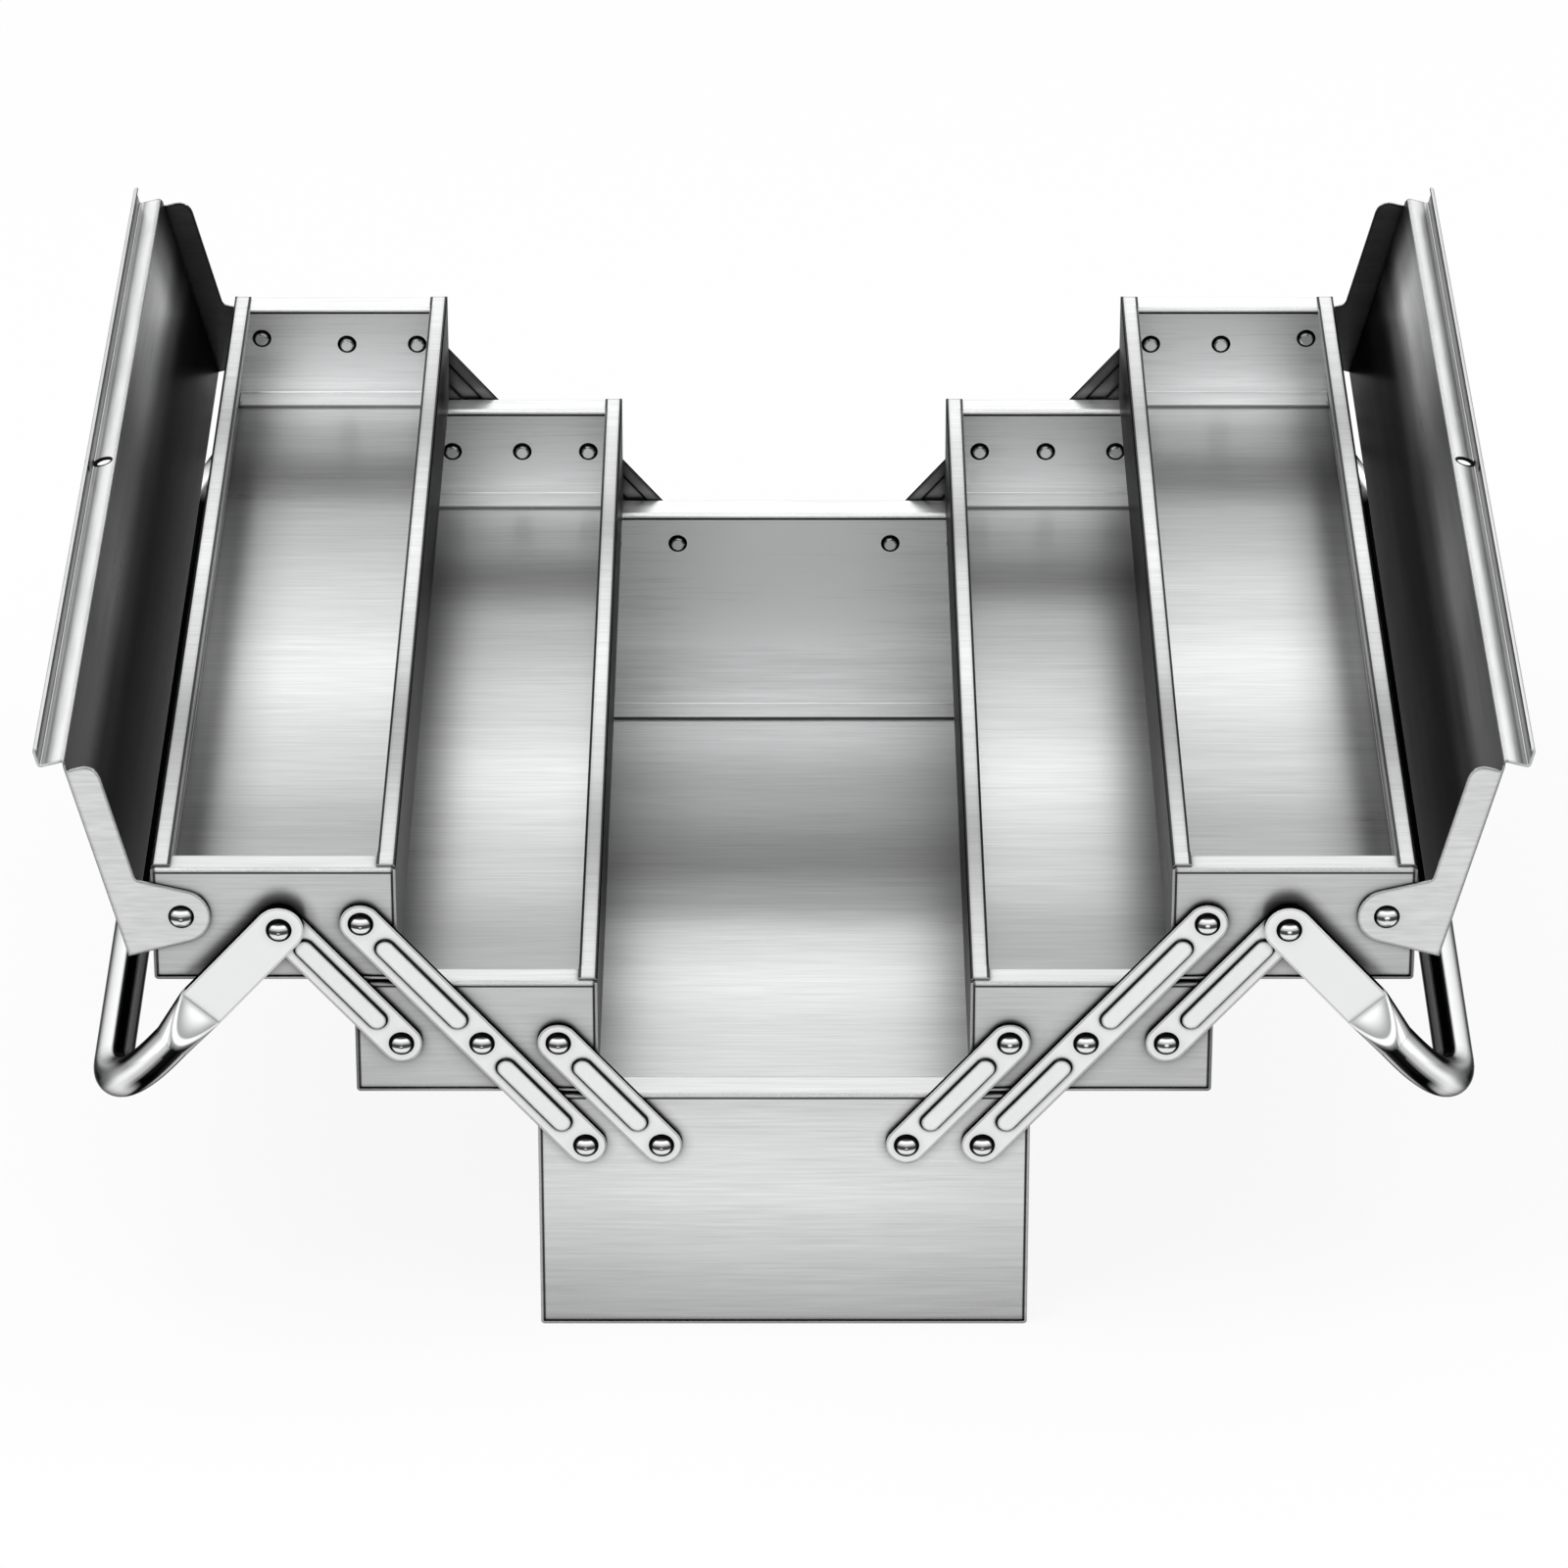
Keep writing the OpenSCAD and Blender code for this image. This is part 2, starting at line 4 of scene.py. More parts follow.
import bpy
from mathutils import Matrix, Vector


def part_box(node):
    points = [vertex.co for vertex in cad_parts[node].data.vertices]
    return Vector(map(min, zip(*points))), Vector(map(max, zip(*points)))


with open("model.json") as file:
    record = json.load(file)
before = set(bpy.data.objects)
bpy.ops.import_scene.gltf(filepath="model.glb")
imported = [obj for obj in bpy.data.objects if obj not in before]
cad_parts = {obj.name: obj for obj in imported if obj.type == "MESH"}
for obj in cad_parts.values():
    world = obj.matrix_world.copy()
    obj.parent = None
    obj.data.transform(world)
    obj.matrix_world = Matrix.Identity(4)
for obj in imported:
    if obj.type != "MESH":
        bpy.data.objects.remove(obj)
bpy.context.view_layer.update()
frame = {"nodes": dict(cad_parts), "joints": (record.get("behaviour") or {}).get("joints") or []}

MM = 0.001
nodes = frame["nodes"]
joints = {joint["name"]: joint for joint in frame["joints"]}
SIDES = {"left": -1, "right": 1}


def grey(level):
    """Linear grey for a level from 0 to 255 as it shows on screen."""
    share = level / 255
    return share / 12.92 if share <= 0.04045 else ((share + 0.055) / 1.055) ** 2.4


# Node helpers

class Graph:
    """Adds nodes to one node tree. A value is a number, a tuple or the socket of another node."""

    def __init__(self, tree):
        self.tree = tree
        tree.nodes.clear()

    def put(self, socket, value):
        if isinstance(value, bpy.types.NodeSocket):
            self.tree.links.new(value, socket)
        else:
            socket.default_value = value

    def fill(self, node, inputs):
        """Gives values to some of a node's inputs."""
        for key, value in inputs.items():
            self.put(node.inputs[key], value)
        return node.outputs

    def node(self, kind, inputs=None):
        """Adds a node, and returns its outputs."""
        return self.fill(self.tree.nodes.new("ShaderNode" + kind), inputs or {})

    def math(self, operation, *values, clamp=False):
        node = self.tree.nodes.new("ShaderNodeMath")
        node.operation = operation
        node.use_clamp = clamp
        return self.fill(node, dict(enumerate(values)))[0]

    def times(self, a, b):
        return self.math("MULTIPLY", a, b)

    def vector(self, operation, *values):
        node = self.tree.nodes.new("ShaderNodeVectorMath")
        node.operation = operation
        outputs = self.fill(node, dict(enumerate(values)))
        return outputs["Value" if operation in ("DOT_PRODUCT", "LENGTH") else "Vector"]

    def split(self, vector):
        return self.node("SeparateXYZ", {0: vector})

    def span(self, value, low, high, smooth=True):
        """0 at low, 1 at high, and clamped outside."""
        node = self.tree.nodes.new("ShaderNodeMapRange")
        node.interpolation_type = "SMOOTHSTEP" if smooth else "LINEAR"
        return self.fill(node, {"Value": value, "From Min": low, "From Max": high})[0]

    def ramp(self, value, stops):
        """Grey levels at places, each (place, level), with smooth changes between them."""
        low, high = stops[0][0], stops[-1][0]
        node = self.tree.nodes.new("ShaderNodeValToRGB")
        node.color_ramp.interpolation = "EASE"
        marks = node.color_ramp.elements
        for _ in stops[2:]:
            marks.new(0.5)
        for mark, (place, level) in zip(marks, stops):
            mark.position = (place - low) / (high - low)
            mark.color = (grey(level),) * 3 + (1,)
        return self.fill(node, {0: self.span(value, low, high, smooth=False)})[0]

    def mix(self, factor, a, b):
        node = self.tree.nodes.new("ShaderNodeMix")
        node.data_type = "FLOAT"
        return self.fill(node, {0: factor, 2: a, 3: b})[0]

    def swing(self, value, amount):
        """A value about one half becomes one about zero."""
        return self.times(self.math("SUBTRACT", value, 0.5), amount)


class Shader(Graph):
    """One material. Points and directions are in the object's own axes, so they move with it."""

    def __init__(self, name):
        self.material = bpy.data.materials.new(name)
        self.material.use_nodes = True
        super().__init__(self.material.node_tree)
        where = self.node("TexCoord")
        self.point, self.normal = where["Object"], where["Normal"]
        self.x, self.y, self.z = self.split(self.point)
        self.nx, self.ny, self.nz = self.split(self.normal)

    def noise(self, stretch, detail, seed=0.0, place=None):
        """Noise between 0 and 1, with the features per metre along X, Y and Z given by stretch."""
        scaled = self.vector("MULTIPLY", place or self.point, stretch)
        node = self.tree.nodes.new("ShaderNodeTexNoise")
        node.noise_dimensions = "4D"
        return self.fill(node, {"Vector": scaled, "W": seed, "Scale": 1.0, "Detail": detail})["Fac"]

    def rounded(self, radius, samples):
        """The normal with its edges rounded."""
        node = self.tree.nodes.new("ShaderNodeBevel")
        node.samples = samples
        return self.fill(node, {"Radius": radius})[0]

    def openness(self, reach, samples):
        """1 on open faces, less in corners."""
        node = self.tree.nodes.new("ShaderNodeAmbientOcclusion")
        node.samples = samples
        return self.fill(node, {"Distance": reach})["AO"]

    def finish(self, surface):
        self.node("OutputMaterial", {"Surface": surface})
        return self.material


# Brushed and polished steel

# Features per metre across the brushing and along it
LINE_ACROSS, LINE_ALONG = 850, 26
STREAK_ACROSS, STREAK_ALONG = 170, 7
SMUDGES = (9, 9, 9)
GRAIN_DEPTH = 0.03 * MM
GRAIN_STRENGTH = 0.25
# How strongly streaks and smudges change the roughness
STREAK_ROUGH, SMUDGE_ROUGH = 0.1, 0.08
BRUSH_ANISOTROPY = 0.6
BRIGHTEST = 0.95
STEEL_TINT = (0.995, 1.0, 1.003)
# Painted shade along the edges, drawn as dark lines: the reach of the wide bevel, and how far it turns
# the normal at none and at a full line
EDGE_REACH = 2 * MM
EDGE_TURN = (0.993, 0.955)
EDGE_SHADE_GREY = grey(10)
# Keeps the brushing axis from being square to a face, where the tangent would vanish
AXIS_TILT = Vector((0.023, 0.031, 0.017))

ALONG_X = (1, 0, 0)
ALONG_Y = (0, 1, 0)
ALONG_Z = (0, 0, 1)


def brushed(shader, tone, along, rough=0.3, lines=0.23, streaks=0.09, edge_tint=0.5, cavity=10 * MM,
            cavity_power=1.6, outline=0.0, round_edge=0.6 * MM, polish=0.0, metal=0.85, place=None):
    """Finishes a steel surface. tone is its grey, along the direction of its brushing, cavity the reach
    of the painted shade in its corners, and outline the strength of its painted shade along the edges,
    drawn as dark lines."""

    def stretch(across, lengthwise):
        return [across * (1 - abs(part)) + lengthwise * abs(part) for part in along]

    fine = shader.noise(stretch(LINE_ACROSS, LINE_ALONG), detail=3.0, place=place)
    broad = shader.noise(stretch(STREAK_ACROSS, STREAK_ALONG), detail=2.0, seed=3.0, place=place)
    smudge = shader.noise(SMUDGES, detail=3.0, seed=8.0)

    # Painted shade: darker in corners and between parts
    shade = shader.math("POWER", shader.openness(cavity, samples=6), cavity_power)
    grain = shader.math("ADD", shader.swing(fine, 2 * lines), 1)
    grain = shader.math("ADD", grain, shader.swing(broad, 2 * streaks))
    value = shader.times(shader.times(tone, grain), shade)
    # Painted shade along the edges, where the wide bevel turns the normal away from the flat one
    if outline:
        flat = shader.node("NewGeometry")["True Normal"]
        turn = shader.vector("DOT_PRODUCT", flat, shader.rounded(EDGE_REACH, samples=4))
        edge = shader.span(turn, *EDGE_TURN)
        value = shader.mix(shader.times(edge, outline), value, EDGE_SHADE_GREY)
    value = shader.math("MINIMUM", value, BRIGHTEST)
    colour = shader.node("CombineColor", {index: shader.times(value, share)
                                          for index, share in enumerate(STEEL_TINT)})
    edge_colour = shader.node("CombineColor", dict.fromkeys(range(3), edge_tint))

    spread = shader.math("ADD", shader.swing(broad, STREAK_ROUGH), rough)
    spread = shader.math("ADD", spread, shader.swing(smudge, SMUDGE_ROUGH))
    bump = shader.node("Bump", {"Strength": GRAIN_STRENGTH, "Distance": GRAIN_DEPTH, "Height": fine,
                                "Normal": shader.rounded(round_edge, samples=6)})
    turned = shader.vector("CROSS_PRODUCT", shader.normal, tuple(Vector(along) + AXIS_TILT))
    steel = shader.node("BsdfPrincipled", {
        "Base Color": colour[0],
        "Metallic": metal,
        "Specular Tint": edge_colour[0],
        "Anisotropic": BRUSH_ANISOTROPY * (1 - polish),
        "Roughness": spread,
        "Normal": bump[0],
        "Tangent": shader.vector("NORMALIZE", turned),
    })
    return shader.finish(steel[0])


# Trays

PLAIN = grey(205)
RIM_DEPTH = 4.6 * MM
SIDE_RIM = 7.7 * MM
FLOOR_FLANGE = 16 * MM
SOFT = 0.3 * MM

# Painted reflections: grey levels of the sheet at places along the box, each (y in metres, level)
RIM_LEVELS = ((-0.28, 215), (-0.15, 168), (-0.08, 208), (0.01, 231), (0.07, 217), (0.14, 182),
              (0.2, 213), (0.27, 237))
FLOOR_LEVELS = ((-0.28, 196), (-0.155, 177), (-0.09, 205), (0.0, 233), (0.06, 213), (0.14, 187),
                (0.188, 142), (0.23, 188), (0.27, 224))
DEEP_FLOOR_LEVELS = ((-0.28, 208), (-0.12, 213), (-0.04, 220), (0.01, 238), (0.045, 226), (0.085, 172),
                     (0.12, 147), (0.19, 184), (0.27, 238))
# The faces of the small trays that look to the middle of the box, with a painted dark reflection
TOP_OUTSIDE_LEVELS = ((-0.28, 165), (-0.12, 112), (0.0, 92), (0.1, 52), (0.2, 62), (0.28, 130))
MIDDLE_OUTSIDE_LEVELS = ((-0.28, 130), (-0.19, 74), (-0.1, 46), (0.02, 48), (0.1, 66), (0.2, 60),
                         (0.28, 96))
# On the side walls the painted reflections lean: places there are y plus a multiple of the height
WALL_LEAN = 2.0
WALL_LEVELS = ((-0.2, 226), (-0.11, 206), (-0.055, 168), (0.02, 210), (0.11, 234), (0.19, 212),
               (0.245, 178), (0.3, 228))
DEEP_WALL_LEAN = 1.6
DEEP_WALL_LEVELS = ((-0.2, 225), (-0.12, 238), (0.02, 187), (0.1, 210), (0.18, 237), (0.27, 212),
                    (0.33, 190), (0.38, 146), (0.43, 226))


def tray_sheet(name):
    """The folded sheet of one tray: satin rims, brushed floor and sides, with painted reflections and
    shade.
    """
    low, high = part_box(name)
    deep = "bottom" in name
    middle, half = (low.x + high.x) / 2, (high.x - low.x) / 2
    shader = Shader(name + "_steel")
    x, y, z = shader.x, shader.y, shader.z
    aside = shader.math("SUBTRACT", x, middle)
    out = shader.math("ABSOLUTE", aside)
    away = shader.times(aside, 1 if middle > 0 else -1)

    # Painted reflections along the box on the floor, and leaning ones on the walls
    floor_tone = shader.ramp(y, DEEP_FLOOR_LEVELS if deep else FLOOR_LEVELS)
    if not deep:
        # Painted shade: the small trays' floors darker towards their outer side
        floor_shade = shader.times(shader.span(away, 0.2 * half, 1.05 * half), 0.5)
        floor_tone = shader.mix(floor_shade, floor_tone, grey(60))
    height = shader.math("SUBTRACT", z, low.z)
    lean = shader.math("MULTIPLY_ADD", height, DEEP_WALL_LEAN if deep else WALL_LEAN, y)
    wall_tone = shader.ramp(lean, DEEP_WALL_LEVELS if deep else WALL_LEVELS)
    is_wall = shader.span(shader.math("ABSOLUTE", shader.nx), 0.4, 0.6)
    tone = shader.mix(is_wall, floor_tone, wall_tone)

    # The outsides: plain, but with a painted dark reflection on the small trays' faces to the middle, at
    # a flat view too
    is_outside = shader.times(is_wall, shader.span(out, half - 0.6 * MM, half - 0.4 * MM))
    if deep:
        outside, edge_tint, metal = PLAIN, 0.5, 0.85
    else:
        levels = TOP_OUTSIDE_LEVELS if "top" in name else MIDDLE_OUTSIDE_LEVELS
        outside = shader.mix(shader.span(away, -MM, MM), shader.ramp(y, levels), PLAIN)
        dark_reflection = shader.times(is_outside, shader.span(away, MM, -MM))
        edge_tint = shader.mix(dark_reflection, 0.5, 0.06)
        metal = shader.mix(dark_reflection, 0.85, 1.0)
    tone = shader.mix(is_outside, tone, outside)

    # The side rims, with painted reflections along the box and a painted shade line along both edges
    inner_line = half - SIDE_RIM + MM
    outer_line = half - MM
    line = shader.math("MAXIMUM", shader.span(out, inner_line + SOFT, inner_line),
                       shader.span(out, outer_line - SOFT, outer_line))
    rim_tone = shader.mix(shader.times(line, 0.9), shader.ramp(y, RIM_LEVELS), grey(12))
    is_rim = shader.span(z, high.z - RIM_DEPTH - 0.2 * MM, high.z - RIM_DEPTH)
    tone = shader.mix(shader.times(is_rim, shader.span(shader.nz, 0.3, 0.7)), tone, rim_tone)

    # The brushing of the side walls runs along the box
    place = shader.node("CombineXYZ", {0: shader.mix(is_wall, x, y), 1: shader.mix(is_wall, y, x), 2: z})
    return brushed(shader, tone, ALONG_X, edge_tint=edge_tint, cavity=5 * MM, cavity_power=0.5,
                   outline=0.55, metal=metal, place=place[0])


# Painted light and shade: grey levels of the ends by the share of their height
DEEP_FRONT_LEVELS = ((0.0, 178), (0.15, 188), (0.35, 207), (0.6, 224), (0.85, 217), (1.0, 205))
FRONT_LEVELS = ((0.0, 186), (0.3, 190), (1.0, 194))
DEEP_BACK_LEVELS = ((0.0, 228), (0.2, 232), (0.32, 254), (1.0, 255))
BACK_LEVELS = ((0.0, 236), (0.3, 250), (1.0, 250))


def tray_end(name):
    """One end of a tray: brushed face outside and inside, with painted light and shade, and a rolled
    satin rim.
    """
    low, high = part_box(name)
    deep, is_front = "bottom" in name, "front" in name
    middle, half = (low.x + high.x) / 2, (high.x - low.x) / 2
    shader = Shader(name + "_steel")
    y, z, ny = shader.y, shader.z, shader.ny
    if is_front:
        levels, rim = DEEP_FRONT_LEVELS if deep else FRONT_LEVELS, grey(218)
    else:
        levels, rim = DEEP_BACK_LEVELS if deep else BACK_LEVELS, grey(236)
    face_tone = shader.ramp(shader.span(z, low.z, high.z, smooth=False), levels)
    aside = shader.math("ABSOLUTE", shader.math("SUBTRACT", shader.x, middle))
    # Painted shade: the face darker towards its sides
    side_shade = shader.times(shader.span(aside, 0.15 * half, 1.1 * half), 0.14 if deep else 0.08)
    face_tone = shader.mix(side_shade, face_tone, grey(110))
    if is_front:
        # Painted shade lines at the sides, at the bottom and under the rim
        sides = shader.span(aside, half - MM, half - MM + SOFT)
        bottom = shader.span(z, low.z + MM, low.z + MM - SOFT)
        under_rim = shader.times(shader.span(z, high.z - 2.3 * MM, high.z - 2.3 * MM + SOFT),
                                 shader.span(z, high.z - 1.1 * MM, high.z - 1.1 * MM - SOFT))
        border_shade = shader.math("MAXIMUM", shader.math("MAXIMUM", sides, bottom), under_rim)
        face_tone = shader.mix(shader.times(border_shade, 0.9), face_tone, grey(30))
    else:
        face_tone = shader.mix(shader.span(ny, 0.3, 0.6), face_tone, PLAIN)
    is_rim = shader.span(z, high.z - RIM_DEPTH - 0.2 * MM, high.z - RIM_DEPTH)
    tone = shader.mix(shader.times(is_rim, shader.span(shader.nz, 0.3, 0.7)), face_tone, rim)
    if is_front:
        return brushed(shader, tone, ALONG_X, cavity=5 * MM if deep else 8 * MM,
                       cavity_power=1.3 if deep else 2.0, outline=0.9)

    # A painted black shadow band on the drop of the rear rim
    over_foot = shader.span(z, high.z - 4.1 * MM, high.z - 4.0 * MM)
    over_band = shader.span(z, high.z - 2.2 * MM, high.z - 1.7 * MM)
    band = shader.math("SUBTRACT", over_foot, over_band, clamp=True)
    tone = shader.mix(shader.times(band, shader.span(ny, -0.2, -0.4)), tone, grey(4))
    # A crisp painted shade line at the edge of the floor flange, and no painted edge shade in the soft
    # fold behind it
    flange_y = high.y - FLOOR_FLANGE
    line = shader.times(shader.span(y, flange_y + 1.1 * MM, flange_y + 1.1 * MM - SOFT),
                        shader.span(z, low.z + 4 * MM, low.z + 3 * MM))
    tone = shader.mix(shader.times(line, 0.9 if deep else 0.6), tone, grey(20))
    in_fold = shader.times(shader.span(y, flange_y + 4 * MM, flange_y + 5 * MM),
                           shader.span(z, low.z + 8 * MM, low.z + 7 * MM))
    return brushed(shader, tone, ALONG_X, cavity=5 * MM, cavity_power=0.15,
                   outline=shader.mix(in_fold, 0.5, 0.0), metal=1.0 if deep else 0.85, edge_tint=0.9)


def arm_steel(name):
    """A pressed arm: bright flat plate, and a bead with painted shade on its sides, dark below and grey
    above.
    """
    shader = Shader(name + "_steel")
    low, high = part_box(name)
    run = Vector((high.x - low.x, 0, high.z - low.z)).normalized()
    if "left" in name:
        run.x = -run.x
    is_flat = shader.span(shader.math("ABSOLUTE", shader.ny), 0.93, 0.985)
    slope_shade = shader.mix(shader.span(shader.nz, -0.15, 0.15), grey(8), grey(40))
    plate = grey(236)
    # Painted shade: the back arms darker on the side that faces forward
    if "_back_" in name:
        plate = shader.mix(shader.span(shader.ny, -0.2, -0.4), grey(200), grey(118))
    tone = shader.mix(is_flat, slope_shade, plate)
    return brushed(shader, tone, tuple(run), lines=0.04, streaks=0.03, edge_tint=0.15, cavity=4 * MM,
                   cavity_power=1.3, outline=0.85, metal=0.95)


# Lids

LID_OPEN = math.radians(105)
# Painted shade and reflections: grey levels of the inside by the distance from the hinge. Each is
# multiplied by a share, which depends on the place along the box and is 1 at SHARE_ONE
LID_LEVELS = ((0.0, 58), (0.005, 58), (0.015, 36), (0.03, 33), (0.045, 96), (0.06, 172), (0.079, 146))
LID_FAR_SHARE = ((-0.28, 165), (-0.16, 168), (-0.08, 195), (0.03, 160), (0.14, 232), (0.2, 255),
                 (0.24, 190), (0.275, 98))
LID_NEAR_SHARE = ((-0.28, 188), (-0.24, 160), (-0.17, 60), (-0.1, 105), (0.0, 140), (0.1, 150),
                  (0.16, 100), (0.2, 20), (0.28, 30))
SHARE_ONE = grey(188)
# Distances from the hinge at which the near share gives way to 1, and 1 to the far share
NEAR_UNTIL, FAR_FROM = (10 * MM, 22 * MM), (34 * MM, 46 * MM)
# Painted highlights and shade on the step by its depth, and on the strip by the distance from the hinge
LID_STEP_LEVELS = ((0.0245, 252), (0.0285, 244), (0.0308, 228), (0.0322, 188), (0.0331, 252))
LID_STRIP_LEVELS = ((0.0785, 15), (0.0793, 35), (0.0802, 235), (0.0816, 222), (0.0832, 140),
                    (0.084, 118), (0.0848, 215), (0.0854, 225), (0.086, 60), (0.0866, 25))
# The holes, painted as dark spots of shade: distance from the hinge, place along the box, depth and
# radius of the dark rim
LID_HOLES = ((0.0788, 0.0, 0.0305, 0.0044), (0.0842, -0.012, 0.035, 0.0024))
# The lid's brushing, in the open pose: along the box and up the panel
LID_BRUSHING = (0.94, 1, 0)


def lid_steel(side):
    """The lid, with painted shade and highlights: a dark inside, a bright step, a grey strip and light
    end flanges.
    """
    name = "lid_" + side
    sign = SIDES[side]
    pivot = Vector(joints["lid_hinge_" + side]["pos_m"])
    # In the open pose: along runs up the panel from the hinge, and out points away from the box
    along = Vector((sign * -math.cos(LID_OPEN), 0, math.sin(LID_OPEN)))
    out = Vector((sign * math.sin(LID_OPEN), 0, math.cos(LID_OPEN)))
    shader = Shader(name + "_steel")
    y = shader.y
    place = shader.vector("SUBTRACT", shader.point, tuple(pivot))
    reach = shader.vector("DOT_PRODUCT", place, tuple(along))
    depth = shader.vector("DOT_PRODUCT", place, tuple(out))
    facing_in = shader.vector("DOT_PRODUCT", shader.normal, tuple(-out))
    facing_hinge = shader.vector("DOT_PRODUCT", shader.normal, tuple(-along))

    # The painted shade and reflections of the inside, the step and the strip
    share = shader.mix(shader.span(reach, *NEAR_UNTIL), shader.ramp(y, LID_NEAR_SHARE), SHARE_ONE)
    share = shader.mix(shader.span(reach, *FAR_FROM), share, shader.ramp(y, LID_FAR_SHARE))
    inside = shader.times(shader.ramp(reach, LID_LEVELS), shader.math("DIVIDE", share, SHARE_ONE))
    is_strip = shader.span(depth, 26.2 * MM, 26.8 * MM)
    is_step = shader.span(shader.math("ABSOLUTE", facing_hinge), 0.5, 0.7)
    tone = shader.mix(is_strip, inside, shader.ramp(reach, LID_STRIP_LEVELS))
    tone = shader.mix(is_step, tone, shader.ramp(depth, LID_STEP_LEVELS))
    # The flanges: light outside, and painted shade on the side that looks into the lid
    looks_out = shader.times(shader.ny, y)
    flange = shader.mix(shader.span(looks_out, -0.01, 0.01), grey(78), grey(212))
    tone = shader.mix(shader.span(shader.math("ABSOLUTE", shader.ny), 0.6, 0.8), tone, flange)
    tone = shader.mix(shader.span(facing_in, -0.5, -0.7), tone, PLAIN)
    # Painted shade at the holes: dark spots with a soft edge
    for hole_reach, hole_y, hole_depth, radius in LID_HOLES:
        centre = along * hole_reach + Vector((0, hole_y, 0)) + out * hole_depth
        distance = shader.vector("LENGTH", shader.vector("SUBTRACT", place, tuple(centre)))
        tone = shader.mix(shader.span(distance, radius + 0.4 * MM, radius), tone, grey(8))
    # The strength of the painted shade along the edges, by part of the lid
    outline = shader.mix(is_strip, 0.85, 0.6)
    outline = shader.mix(shader.span(depth, 31 * MM, 31.5 * MM), outline, 0.35)
    return brushed(shader, tone, LID_BRUSHING, edge_tint=0.3, cavity=5 * MM, cavity_power=0.6,
                   outline=outline)


# Handles

# Painted reflections: light and dark lengthwise bands of the polished tube, by the turn of its surface
BAR_BANDS = ((-1.0, 30), (-0.9, 150), (-0.7, 250), (-0.12, 246), (0.08, 60), (0.25, 8), (0.5, 12),
             (0.68, 150), (0.9, 160), (1.0, 25))
LEG_BANDS = ((-1.0, 25), (-0.88, 150), (-0.72, 230), (-0.52, 40), (-0.3, 8), (0.02, 20), (0.28, 200),
             (0.55, 250), (0.85, 150), (1.0, 15))
# The direction of the right handle's legs
LEG_X, LEG_Z = 0.669, -0.743
# Distances from the pivot along the legs, each from no change to a full change
STRAP_END = (48 * MM, 51 * MM)
HOLLOW_TONE = (50 * MM, 60 * MM)
HOLLOW_END = (62.5 * MM, 65.5 * MM)
HOLLOW_LINE_IN, HOLLOW_LINE_OUT = (59.5 * MM, 61 * MM), (63.5 * MM, 62 * MM)
BAR_FROM = (86 * MM, 100 * MM)
# The hollow ends in an arch, which lags by its height at half the strap's width
HALF_STRAP, ARCH_HEIGHT = 9 * MM, 11 * MM


def handle_steel(side):
    """The handle: a satin strap, a pressed neck and a polished tube, with painted reflections, shade and
    a highlight.
    """
    name = "handle_" + side
    sign = SIDES[side]
    pivot = Vector(joints["handle_hinge_" + side]["pos_m"])
    run = Vector((sign * LEG_X, 0, LEG_Z))
    over = Vector((sign * -LEG_Z, 0, LEG_X))
    shader = Shader(name + "_steel")
    place = shader.vector("SUBTRACT", shader.point, tuple(pivot))
    reach = shader.vector("DOT_PRODUCT", place, tuple(run))
    across = shader.math("DIVIDE", shader.vector("DOT_PRODUCT", place, tuple(over)), HALF_STRAP)
    arched = shader.math("MULTIPLY_ADD", shader.times(across, across), ARCH_HEIGHT, reach)

    # Painted reflections on the tube
    bar = shader.ramp(shader.times(shader.nx, -sign), BAR_BANDS)
    leg = shader.ramp(shader.vector("DOT_PRODUCT", shader.normal, tuple(over)), LEG_BANDS)
    tube = shader.mix(shader.span(reach, *BAR_FROM), leg, bar)
    ahead = shader.math("ABSOLUTE", shader.ny)
    # Painted shade: the pressed hollow greyer, and the sides of the neck and the strap dark
    hollow = shader.mix(shader.span(arched, *HOLLOW_TONE), grey(236), grey(150))
    neck = shader.mix(shader.span(ahead, 0.5, 0.78), grey(30), hollow)
    strap = shader.mix(shader.span(ahead, 0.7, 0.95), grey(20), grey(236))
    tone = shader.mix(shader.span(reach, *STRAP_END), strap, neck)
    tone = shader.mix(shader.span(arched, *HOLLOW_END), tone, tube)
    # A painted highlight: a light line where the hollow ends
    line = shader.times(shader.span(arched, *HOLLOW_LINE_IN), shader.span(arched, *HOLLOW_LINE_OUT))
    tone = shader.mix(line, tone, grey(250))
    return brushed(shader, tone, tuple(run), rough=0.16, lines=0.015, streaks=0.02, edge_tint=0.1,
                   polish=0.7, cavity=4 * MM, cavity_power=1.3, outline=0.5, metal=0.97)


# Rivets and spacers

# Painted reflections: bands of a dome by the upward part of its normal
DOME_LEVELS = ((-0.8, 10), (-0.58, 120), (-0.4, 240), (-0.2, 235), (-0.08, 60), (0.1, 75),
               (0.2, 190), (0.4, 245), (0.52, 60), (0.8, 10))


def rivet_steel(name):
    """Polished domes with painted reflections, light above and below a dark band, and a painted black
    ring of shade at the foot of the dome. The heads inside the back ends are plain and light within the
    ring."""
    shader = Shader(name + "_steel")
    is_inner = shader.times(shader.span(shader.y, 0.0, 0.01), shader.span(shader.ny, 0.3, 0.0))
    # Painted reflections on the domes, and the inner heads plain and light
    tone = shader.mix(is_inner, shader.ramp(shader.nz, DOME_LEVELS), grey(245))
    # The painted black ring of shade at the foot of the dome
    steep = shader.math("SUBTRACT", shader.math("ABSOLUTE", shader.ny), shader.times(is_inner, 0.03))
    tone = shader.mix(shader.span(steep, 0.85, 0.78), tone, grey(6))
    return brushed(shader, tone, ALONG_Z, rough=0.18, lines=0.0, streaks=0.0, edge_tint=0.05,
                   polish=1.0, cavity=2 * MM, cavity_power=1.0, round_edge=0.2 * MM, metal=0.8)


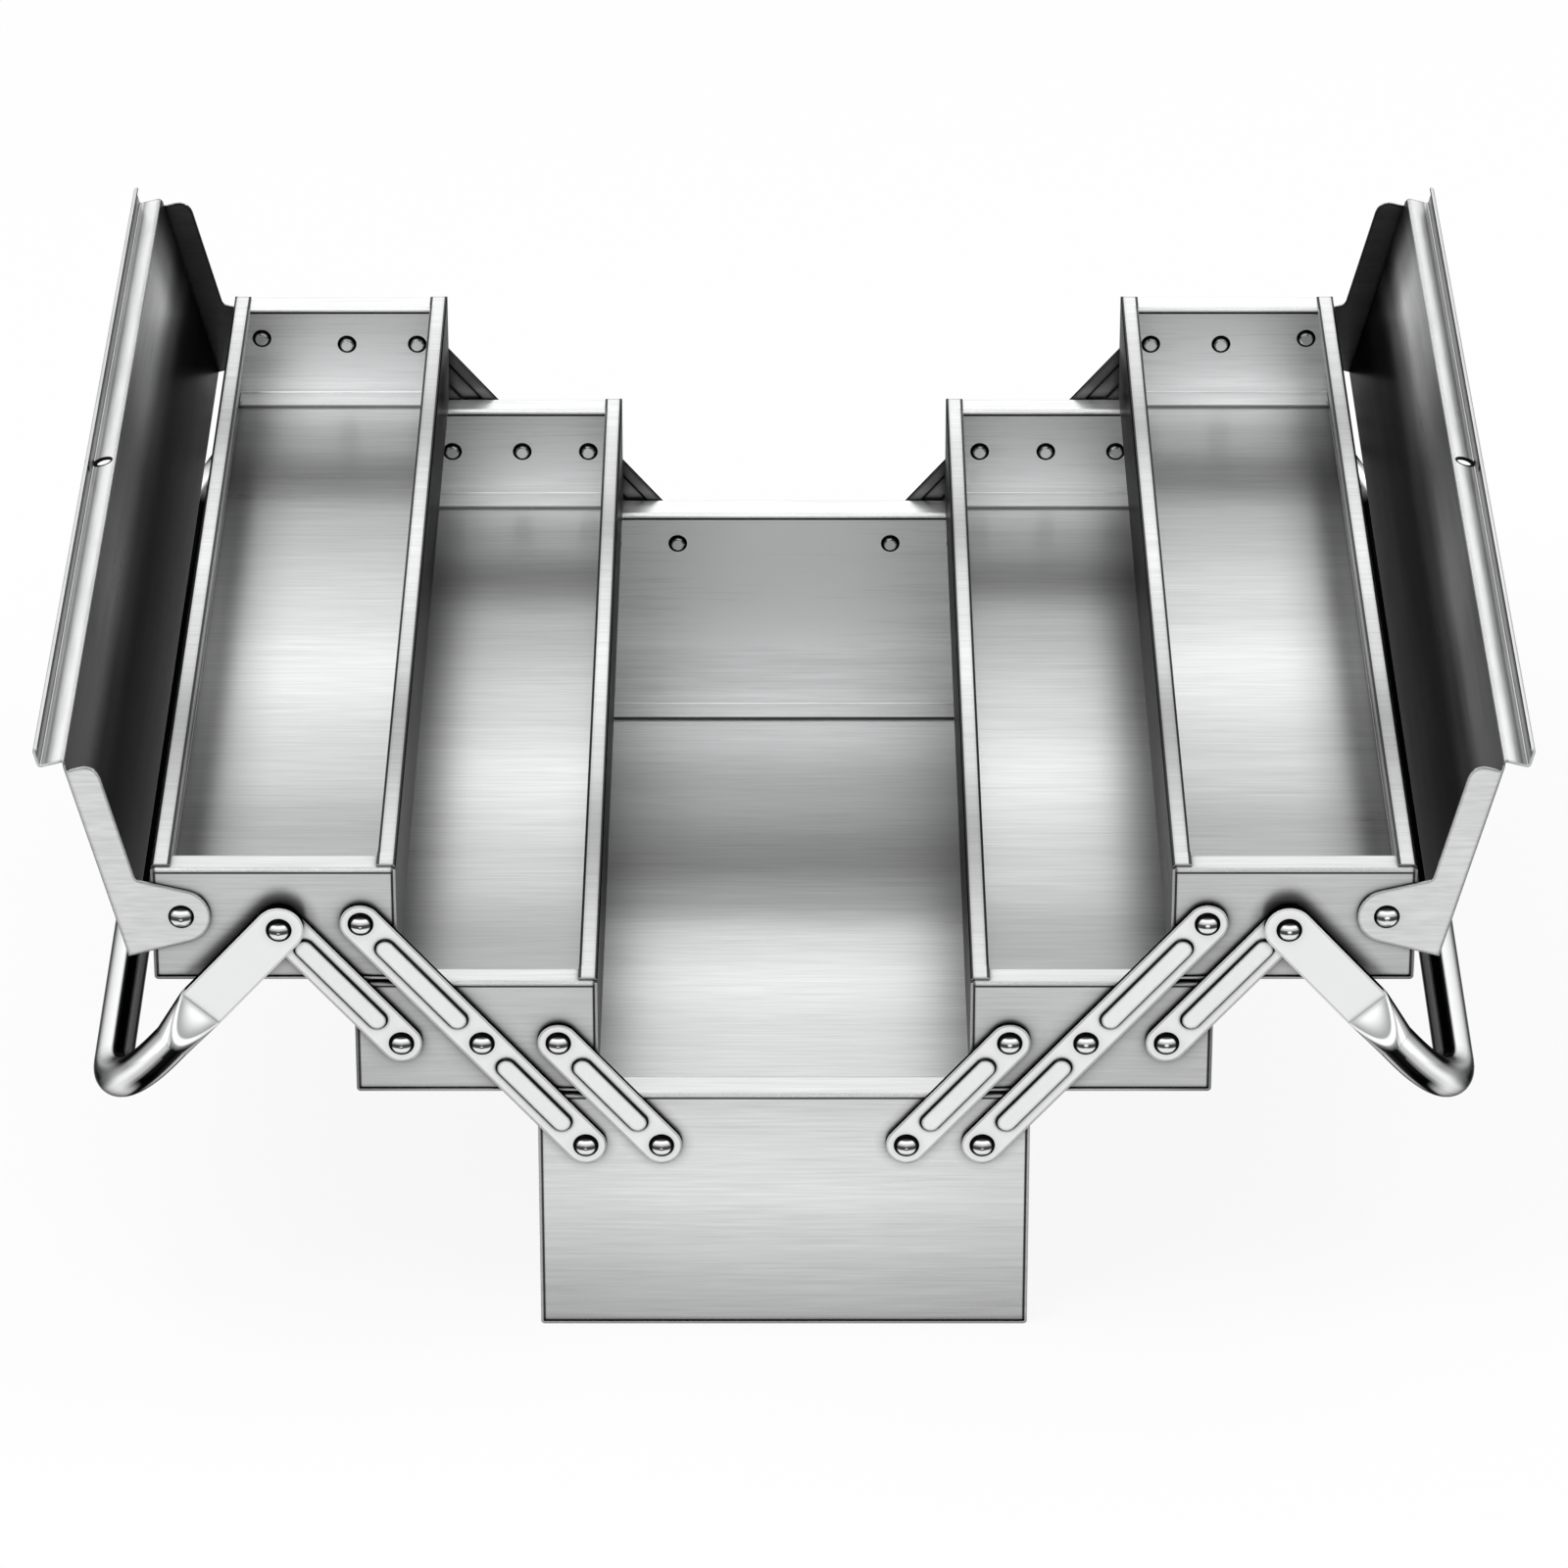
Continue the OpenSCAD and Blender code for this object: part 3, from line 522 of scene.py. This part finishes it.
def spacer_steel(name):
    return brushed(Shader(name + "_steel"), grey(160), ALONG_Y, lines=0.03, streaks=0.02)


def finish_of(name):
    """The material of one node, by what its name says it is."""
    for side in SIDES:
        if name == "lid_" + side:
            return lid_steel(side)
        if name == "handle_" + side:
            return handle_steel(side)
    kinds = {"rivets": rivet_steel, "_shell": tray_sheet, "_end": tray_end, "_arm_": arm_steel,
             "spacers": spacer_steel}
    return next(steel(name) for word, steel in kinds.items() if word in name)


for name in nodes:
    material = finish_of(name)
    for slot in nodes[name].material_slots:
        slot.material = material


# Floor, light and camera

FLOOR_HALF = 12.0
PAPER = (0.9, 0.9, 0.9, 1)
WHITE = (1, 1, 1, 1)
# How much of the floor is plain white to the camera and in reflections. The rest shows the shadow
FLOOR_WHITE = 0.88


def floor_material():
    shader = Shader("floor_paper")
    ray = shader.node("LightPath")
    seen = shader.math("MAXIMUM", ray["Is Camera Ray"], ray["Is Glossy Ray"])
    paper = shader.node("BsdfDiffuse", {"Color": PAPER})
    glow = shader.node("Emission", {"Color": WHITE})
    blend = shader.node("MixShader", {0: shader.times(seen, FLOOR_WHITE), 1: paper[0], 2: glow[0]})
    return shader.finish(blend[0])


floor_mesh = bpy.data.meshes.new("floor")
floor_mesh.from_pydata([(-FLOOR_HALF, -FLOOR_HALF, 0), (FLOOR_HALF, -FLOOR_HALF, 0),
                        (FLOOR_HALF, FLOOR_HALF, 0), (-FLOOR_HALF, FLOOR_HALF, 0)], [], [(0, 1, 2, 3)])
floor = bpy.data.objects.new("floor", floor_mesh)
bpy.context.scene.collection.objects.link(floor)
floor_mesh.materials.append(floor_material())

# The world's strength: on plain surfaces, what the background adds to it, and what mirrors add to that
WORLD_LIGHT, WORLD_SEEN, WORLD_MIRRORED = 0.8, 0.2, 0.3

world = bpy.data.worlds.new("studio")
bpy.context.scene.world = world
world.use_nodes = True
sky = Graph(world.node_tree)
ray = sky.node("LightPath")
seen = sky.math("MAXIMUM", ray["Is Camera Ray"], ray["Is Glossy Ray"])
seen = sky.math("MAXIMUM", seen, ray["Is Transmission Ray"])
strength = sky.math("MULTIPLY_ADD", seen, WORLD_SEEN, WORLD_LIGHT)
strength = sky.math("MULTIPLY_ADD", ray["Is Glossy Ray"], WORLD_MIRRORED, strength)
background = sky.node("Background", {"Color": WHITE, "Strength": strength})
sky.node("OutputWorld", {"Surface": background[0]})


def softbox(name, place, size, power):
    """A square lamp that aims at the middle of the box."""
    lamp = bpy.data.lights.new(name, "AREA")
    lamp.shape = "RECTANGLE"
    lamp.size = lamp.size_y = size
    lamp.energy = power
    piece = bpy.data.objects.new(name, lamp)
    piece.location = place
    aim = Vector((0, 0, 0.1)) - Vector(place)
    piece.rotation_euler = aim.to_track_quat("-Z", "Y").to_euler()
    bpy.context.scene.collection.objects.link(piece)


softbox("key", place=(-1.2, -0.8, 2.4), size=1.6, power=22)
softbox("fill", place=(1.6, 0.6, 2.0), size=1.4, power=10)

camera_data = bpy.data.cameras.new("camera")
camera_data.lens = 183.0
camera_data.sensor_width = 36.0
camera_data.clip_start = 0.1
camera_data.clip_end = 60
camera = bpy.data.objects.new("camera", camera_data)
camera.location = (0, -3.0829, 1.7225)
camera.rotation_euler = (math.radians(62.31), 0, 0)
bpy.context.scene.collection.objects.link(camera)
bpy.context.scene.camera = camera

bpy.context.scene.view_settings.view_transform = "Standard"
